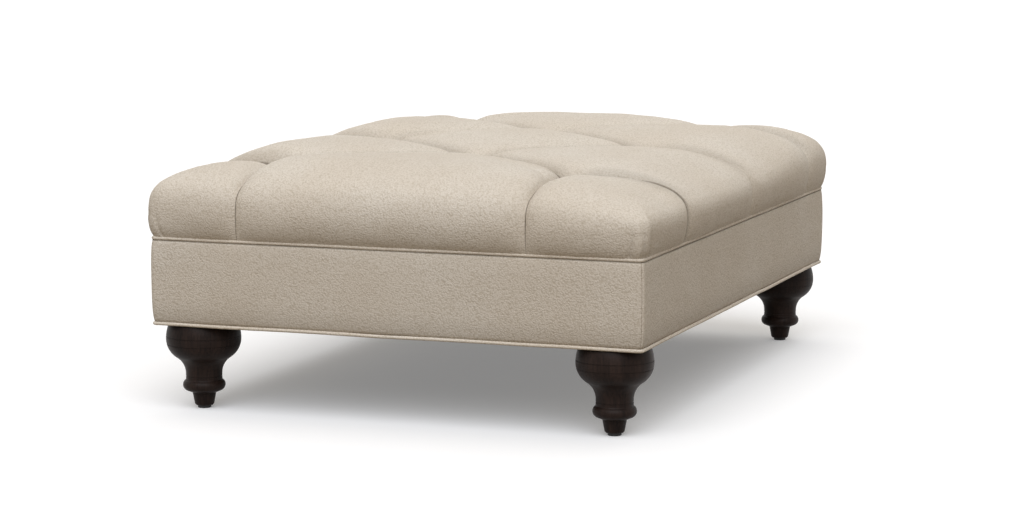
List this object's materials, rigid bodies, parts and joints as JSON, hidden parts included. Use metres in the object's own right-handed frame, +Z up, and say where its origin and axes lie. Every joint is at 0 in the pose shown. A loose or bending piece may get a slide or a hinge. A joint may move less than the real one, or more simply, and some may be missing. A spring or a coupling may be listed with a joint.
{
  "type": "tufted ottoman",
  "caption": "Rectangular leather ottoman: diamond tufted, crowned top over a padded band between welts, on turned bulb legs.",
  "frame": {"origin": "on the floor, under the centre of the ottoman", "axes": "+Z up, +Y along the length towards the back, +X to the right across the width"},
  "size_m": [0.9298, 1.2498, 0.465],
  "materials": {
    "leather": "pebbled putty beige leather, satin",
    "welt_leather": "the same leather drawn tight over cord",
    "stained_wood": "dark espresso stain under satin lacquer",
    "frame_wood": "sawn hardwood",
    "plywood": "birch plywood",
    "glide_nylon": "moulded",
    "zinc_steel": "zinc plated",
    "black_cloth": "spunbonded dust cloth",
    "twine": "waxed twine",
    "toggle_plastic": "moulded",
    "foam": "open cell foam",
    "fibre": "polyester fibre"
  },
  "bodies": {
    "root": {"back_brace": "frame_wood", "back_rail": "frame_wood", "band_padding": "fibre", "band_panel_back": "leather", "band_panel_front": "leather", "band_panel_left": "leather", "band_panel_right": "leather", "block_screws": "zinc_steel", "brace_screws": "zinc_steel", "corner_block_back_left": "frame_wood", "corner_block_back_right": "frame_wood", "corner_block_front_left": "frame_wood", "corner_block_front_right": "frame_wood", "deck": "plywood", "deck_screws": "zinc_steel", "dust_cloth": "black_cloth", "dust_cloth_staples": "zinc_steel", "fibre_wrap": "fibre", "foam_core": "foam", "front_brace": "frame_wood", "front_rail": "frame_wood", "glide_back_left": "glide_nylon", "glide_back_right": "glide_nylon", "glide_front_left": "glide_nylon", "glide_front_right": "glide_nylon", "hanger_bolts": "zinc_steel", "left_rail": "frame_wood", "leg_back_left": "stained_wood", "leg_back_right": "stained_wood", "leg_front_left": "stained_wood", "leg_front_right": "stained_wood", "lower_welt": "welt_leather", "rail_screws": "zinc_steel", "right_rail": "frame_wood", "tee_nuts": "zinc_steel", "tuft_button_back_left": "leather", "tuft_button_back_middle": "leather", "tuft_button_back_right": "leather", "tuft_button_front_left": "leather", "tuft_button_front_middle": "leather", "tuft_button_front_right": "leather", "tuft_button_middle_left": "leather", "tuft_button_middle_right": "leather", "tuft_toggles": "toggle_plastic", "tuft_twines": "twine", "tufted_cover": "leather", "upper_welt": "welt_leather"}
  },
  "joints": []
}
